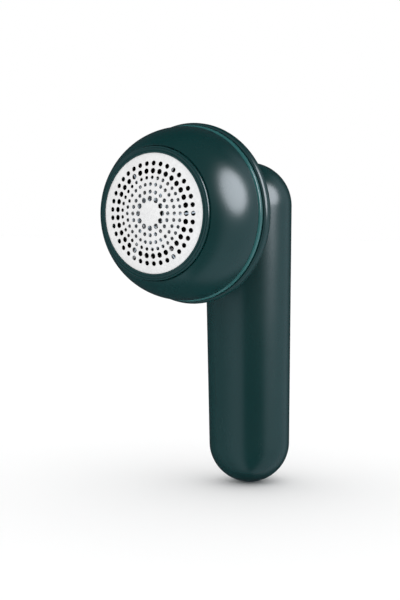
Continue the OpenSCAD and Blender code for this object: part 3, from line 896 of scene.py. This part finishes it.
def wallPatch(planeY, wall, front):
    # the handle's surface on one side of a plane: angle round the axis by height,
    # closed over the ends in front
    z, halfWidth, _, _ = partRows(planeY, wall)
    start = np.arctan2(halfWidth, planeY)
    if front:
        ends = []
        for end, sign in (("bottomRadius", -1), ("topRadius", 1)):
            radius = handle[end] - wall
            rise = np.linspace(math.acos(min(1, planeY / radius)), math.pi / 2, handle["capRows"])[1:]
            ends.append(sign * (handle["halfSpan"] + radius * np.sin(rise)))
        z = np.concatenate([ends[0][::-1], z, ends[1]])
        start = np.concatenate([np.zeros(len(ends[0])), start, np.zeros(len(ends[1]))])
    share = np.linspace(0, 1, handle["columns"] + 1)[None, :]
    low, high = (start, 2 * math.pi - start) if front else (-start, start)
    angle = low[:, None] + (high - low)[:, None] * share
    radius = handleRadius(z, wall)[:, None]
    return patch(onHandle(radius * np.sin(angle), radius * np.cos(angle), z[:, None]))


def partPatches(side):
    # the rounded edge and the flat of the parting plane; side is -1 for the front shell and 1 for the cover
    soft, plane = handle["partRound"], handle["partY"]
    z, halfWidth, outX, outZ = partRows(plane + side * soft, 0.0)
    innerZ, innerWidth, _, _ = partRows(plane, handle["wall"])
    turn = np.linspace(0, math.pi / 2, 5)[None, :]
    cut = soft * (1 - np.cos(turn))
    y = plane + side * soft * (1 - np.sin(turn))
    made = []
    for hand in (-1, 1):
        x = hand * (halfWidth[:, None] - cut * outX[:, None])
        rows = onHandle(x, np.broadcast_to(y, x.shape), z[:, None] - cut * outZ[:, None])
        last = onHandle(hand * innerWidth, np.full(len(innerZ), plane), innerZ)[:, None]
        made.append(patch(np.concatenate([rows, last], 1)))
    return made


def shellPatches(side):
    front = side < 0
    plane = handle["partY"]
    return [wallPatch(plane + side * handle["partRound"], 0.0, front),
            wallPatch(plane, handle["wall"], front),
            *partPatches(side)]


def backY(x, z):
    # where a line along the handle's own Y meets its back
    return np.sqrt(np.maximum(handleRadius(z) ** 2 - x ** 2, 0))


def backSolid(middleZ, rows, sides=96):
    # rings (radius, y or None, rise): a ring lies at a fixed y, or rise above the handle's curved back
    turn = np.linspace(0, 2 * math.pi, sides, endpoint=False)
    radius = np.array([row[0] for row in rows])[:, None] * mm
    x, z = radius * np.sin(turn), middleZ * mm + radius * np.cos(turn)
    fixed = np.array([np.nan if row[1] is None else row[1] for row in rows])[:, None] * mm
    rise = np.array([row[2] for row in rows])[:, None] * mm
    y = np.where(np.isnan(fixed), backY(x, z) + rise, fixed)
    return patch(onHandle(x, y, z), False, True)


backHoles = {
    # height on the handle, radius and softening of the edge of each hole in the cover, in mm
    "button": (18, 6.2, 0.3), "guide": (4, 1.22, 0.12), "topPlug": (36, 2.65, 0.2),
    "lowPlug": (-50, 2.65, 0.2),
}


def backCutter(name):
    # a straight bore whose mouth widens in an even rounding along the curved back
    height, radius, soft = backHoles[name]
    rows = [(0, 8, 0), (radius, 8, 0), (radius, None, -soft), (radius + 0.08 * soft, None, -0.6 * soft),
            (radius + 0.3 * soft, None, -0.28 * soft), (radius + 0.7 * soft, None, -0.07 * soft),
            (radius + 1.3 * soft, None, 0.05 * soft), (radius + 1.3 * soft, 24, 0), (0, 24, 0)]
    return addMesh("cut_" + name, [backSolid(height, rows)])


def turnedCutter(name, radius, low, high):
    outline = np.array([(0, low), (radius, low), (radius, high), (0, high)]) * mm
    angle = np.linspace(0, 2 * math.pi, 128, endpoint=False)[:, None]
    return addMesh(name, [patch(onHead(outline[None, :, 0], angle, outline[None, :, 1]), True, False)])


socketSlot = {"centreY": 8.4, "straight": 2.9, "radius": 1.65, "soft": 0.25}


def slotCutter():
    # a stadium-shaped slot up into the handle's lower end, with an evenly rounded mouth
    turn = np.linspace(0, 2 * math.pi, 64, endpoint=False)
    soft = socketSlot["soft"]
    rows = [(0, -60, 0), (1, -60, 0), (1, None, soft), (1.0 + 0.3 * soft, None, 0.28 * soft),
            (1.0 + 0.8 * soft, None, 0.0), (1.0 + 1.2 * soft, None, -0.1), (1.0 + 1.2 * soft, -80, 0),
            (0, -80, 0)]
    grow = np.array([row[0] for row in rows])[:, None]
    x = (np.sign(np.cos(turn)) * socketSlot["straight"] * np.minimum(grow, 1)
         + socketSlot["radius"] * grow * np.cos(turn)) * mm
    y = (socketSlot["centreY"] + socketSlot["radius"] * grow * np.sin(turn)) * mm
    below = -handle["halfSpan"] - np.sqrt(np.maximum(handle["bottomRadius"] ** 2 - x ** 2 - y ** 2, 0))
    fixed = np.array([np.nan if row[1] is None else row[1] for row in rows])[:, None] * mm
    rise = np.array([row[2] for row in rows])[:, None] * mm
    z = np.where(np.isnan(fixed), below + rise, fixed)
    return addMesh("cut_slot", [patch(onHandle(x, y, z), False, True)])


neck = {"bore": 11.0, "pad": 13.5, "padDepth": 60.6}


def addHandleFront():
    # inside, a thick ring backs the wall where the head's tail goes through
    turn = np.linspace(0, 2 * math.pi, 128, endpoint=False)[:, None]
    radii = np.array([neck["bore"], neck["pad"], neck["pad"], neck["bore"]])[None, :] * mm
    x, z = headX + radii * np.cos(turn), headZ + radii * np.sin(turn)
    sunk = frontDepth(x, z, 0.5 * mm)
    depth = np.where(np.array([True, True, False, False])[None, :], sunk, neck["padDepth"] * mm)
    shell = addMesh("handle_front", shellPatches(-1))
    carve(shell, [turnedCutter("cut_neck", neck["bore"], 40, 66), slotCutter()])
    pad = patch(onHead(radii, turn, depth), True, True)
    joined = addMesh("handle_pad", [pad])
    work = bmesh.new()
    work.from_mesh(shell.data)
    work.from_mesh(joined.data)
    work.to_mesh(shell.data)
    work.free()
    bpy.data.objects.remove(joined)
    finishPiece(shell, "handle_front_shell", "green_shell", "handle")


def addHandleBack():
    cover = addMesh("handle_cover", shellPatches(1))
    carve(cover, [backCutter(name) for name in backHoles])
    finishPiece(cover, "handle_back_cover", "green_shell", "handle")


addHandleFront()
addHandleBack()


# Rear shell of the head, with its neck
rear = {
    "rim": [(34.2, 25.2, 0), (36.25, 25.2, 0.05), (36.35, 25.72, 0.12), (37.05, 25.5, 0.15),
            (37.75, 25.7, 0.35)],
    "rimRadius": 38.1, "rimStart": 26.6, "rimDepth": 27.4, "bowlLength": 14, "bowlRadius": 31, "wall": 2.2,
    "neckRadius": 15, "neckRun": 6, "tail": 11, "bore": 9, "tailEnd": 63,
    "groove": (10.2, 60.6, 61.6), "posts": 3, "postPlace": 28.5, "postRadii": (1.2, 3),
    "postDepths": (22.8, 33.5),
    # where the neck lands on the handle its depth changes round the axis: (radius, gap above the handle)
    "landing": [(15, 1.6), (15, 0.45), (14.9, 0.2), (14.7, 0.06), (14.4, 0.02), (11.0, 0.02)],
}


def bowlCurve():
    # a quarter of an ellipse from the rim, then a quadratic curve that runs into the neck
    turn = math.acos(rear["bowlRadius"] / rear["rimRadius"])
    a = np.linspace(0, turn, 22)
    across, along = rear["rimRadius"] * np.cos(a), rear["rimDepth"] + rear["bowlLength"] * np.sin(a)
    ellipse = np.stack([across, along], -1)
    slope = rear["rimRadius"] / rear["bowlLength"] * math.tan(turn)
    start = ellipse[-1]
    bendDepth = start[1] + (start[0] - rear["neckRadius"]) / slope
    bend = np.array([rear["neckRadius"], bendDepth])
    end = np.array([rear["neckRadius"], bendDepth + rear["neckRun"]])
    t = np.linspace(0, 1, 30)[1:, None]
    return np.concatenate([ellipse, (1 - t) ** 2 * start + 2 * t * (1 - t) * bend + t ** 2 * end])


def addRearShell():
    curve = bowlCurve()
    neckDepth = curve[-1, 1]
    inner = inset(curve, rear["wall"])[::-1]
    tail, bore, (groove, near, far) = rear["tail"], rear["bore"], rear["groove"]
    rimEdge = [(rear["rimRadius"], rear["rimStart"], 0.5)]
    outer = roundedOutline(scaled(rear["rim"] + rimEdge + curveCorners(curve[1:])
                                  + [(bore, neckDepth, 0), (bore, 26, 0)]), 6)
    outer = outer[:-2]
    inside = np.array([(tail, near - 0.4), (tail, near), (groove, near), (groove, far), (tail, far),
                       (tail, rear["tailEnd"] - 0.4), (tail - 0.4, rear["tailEnd"]), (bore, rear["tailEnd"]),
                       (bore, neckDepth - 1), (inner[0, 0], neckDepth - 1)]) * mm
    cavity = inner[(inner[:, 1] > 27.3) & (inner[:, 1] < neckDepth - 1.1)] * mm
    last = np.array([(cavity[-1, 0] / mm, 27.2), (34.2, 27.2)]) * mm
    landing = np.array(rear["landing"]) * mm
    angle = np.linspace(0, 2 * math.pi, 256, endpoint=False)[:, None]
    landed = frontDepth(headX + landing[None, :, 0] * np.cos(angle),
                        headZ + landing[None, :, 0] * np.sin(angle))
    before = np.broadcast_to(outer[None], (len(angle), *outer.shape))
    behind = np.concatenate([inside, cavity, last])
    behind = np.broadcast_to(behind[None], (len(angle), *behind.shape))
    radius = np.concatenate([before[..., 0], np.broadcast_to(landing[None, :, 0], landed.shape),
                             behind[..., 0]], 1)
    depth = np.concatenate([before[..., 1], landed - landing[None, :, 1], behind[..., 1]], 1)
    patches = [patch(onHead(radius, angle, depth), True, True)]
    low, high = rear["postRadii"]
    for k in range(rear["posts"]):
        middle = math.pi / 2 + k * 2 * math.pi / rear["posts"]
        centreX = headX + rear["postPlace"] * mm * math.cos(middle)
        centreZ = headZ + rear["postPlace"] * mm * math.sin(middle)
        turn = np.linspace(0, 2 * math.pi, 40, endpoint=False)[:, None]
        outline = np.array([(low, rear["postDepths"][0]), (high, rear["postDepths"][0]),
                            (high, rear["postDepths"][1]), (low, rear["postDepths"][1])])
        ring = outline[None, :, 0] * mm
        place = np.stack(np.broadcast_arrays(centreX + ring * np.cos(turn), foilY + outline[None, :, 1] * mm,
                                             centreZ + ring * np.sin(turn)), -1)
        patches.append(patch(place, True, True))
    piece = addMesh("head_back", patches)
    finishPiece(piece, "head_rear_shell", "green_shell", "handle")


addRearShell()


# Button, plugs and light guide on the back
backPieces = {
    # rings (radius, fixed y or None, rise above the back) in mm
    "button": [(0, None, 0.28), (1.5, None, 0.29), (3.0, None, 0.34), (4.2, None, 0.42), (5.0, None, 0.48),
               (5.5, None, 0.47), (5.8, None, 0.38), (5.95, None, 0.22), (6.0, None, 0.0), (6.0, 14.7, 0),
               (7.2, 14.7, 0), (7.3, 14.6, 0), (7.3, 13.5, 0), (1.6, 13.5, 0), (1.6, 11.5, 0),
               (1.5, 11.4, 0), (0, 11.4, 0)],
    "plug": [(0, None, -0.08), (1.5, None, -0.08), (2.3, None, -0.09), (2.45, None, -0.14),
             (2.52, None, -0.25),
             (2.55, None, -0.5), (2.55, 15.4, 0), (0, 15.4, 0)],
    "guide": [(0, None, 0.02), (0.6, None, 0.0), (1.0, None, -0.03), (1.1, None, -0.08), (1.15, None, -0.2),
              (1.15, 7.8, 0), (1.05, 7.7, 0), (0, 7.7, 0)],
}


def addBackPieces():
    heights = {name: row[0] for name, row in backHoles.items()}
    button = addMesh("thumb_button", [backSolid(heights["button"], backPieces["button"])])
    finishPiece(button, "power_button", "green_shell", "button")
    plugs = addMesh("cover_plugs", [backSolid(heights[name], backPieces["plug"], 64)
                                    for name in ("topPlug", "lowPlug")])
    finishPiece(plugs, "screw_plugs", "green_shell", "handle")
    guide = addMesh("light_window", [backSolid(heights["guide"], backPieces["guide"], 48)])
    finishPiece(guide, "light_guide", "clear_plastic", "handle")


addBackPieces()


# the cutter's spring, which shortens as the cutter is pushed back; here it is built at one length
coil = {
    "radius": 5.6 * mm, "wire": 0.3 * mm,
    # closed turns at both ends
    "turns": (0, 1, 3, 4), "depths": (7.0 * mm, 7.62 * mm, 9.63 * mm, 10.25 * mm),
    "stations": 40, "sides": 16,
}


def addCoil():
    # a round wire carried along a helix: its middle goes round the head's axis while its depth grows with
    # the turns
    turns = np.linspace(0, coil["turns"][-1], coil["turns"][-1] * coil["stations"] + 1)
    turns = np.concatenate([turns[:1], turns, turns[-1:]])[:, None]
    wire = np.full(len(turns), coil["wire"])[:, None]
    wire[[0, -1]] = 0
    around = np.linspace(0, 2 * math.pi, coil["sides"], endpoint=False)[None, :]
    depth = np.interp(turns, coil["turns"], coil["depths"])
    places = onHead(coil["radius"] + wire * np.cos(around), 2 * math.pi * turns,
                    depth + wire * np.sin(around))
    piece = addMesh("cutter_coil", [patch(places, False, True)])
    finishPiece(piece, "cutter_spring", "plain_steel", "rotor", 60)
    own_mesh(piece)


addCoil()


# CAD nodes that stay as they are, by finish
keptNodes = {
    "blade_steel": ["cutter_blades"],
    "plain_steel": ["deck_screws", "holder_screws", "cover_screws", "neck_clip", "motor_shaft", "drive_cap",
                    "battery_tabs", "usb_socket"],
    "can_steel": ["motor_can"],
    "black_plastic": ["foil_clamp", "motor_deck", "motor_holder", "cutter_hub", "battery_cradle",
                      "tact_switch"],
    "ivory_plastic": ["drive_hub", "motor_end_cap", "battery_insulator", "switch_plunger"],
    "clear_plastic": ["status_led"],
    "seal_rubber": ["bin_seal"],
    "felt": ["shaft_seal"],
    "bronze": ["motor_bushings"],
    "copper_wire": ["motor_windings", "motor_brushes", "motor_terminals"],
    "magnet": ["motor_magnets"],
    "laminated_iron": ["motor_armature"],
    "cell_sleeve": ["battery_cell"],
    "board": ["control_board"],
    "chip": ["board_chips"],
    "wire_red": ["motor_leads", "battery_leads"],
}


def finishKept():
    for slotName, names in keptNodes.items():
        for name in names:
            node = frame["nodes"][name]
            if not node.data.materials:
                node.data.materials.append(None)
            for place in node.material_slots:
                place.material = finishes[slotName]


finishKept()
print("kept nodes done")
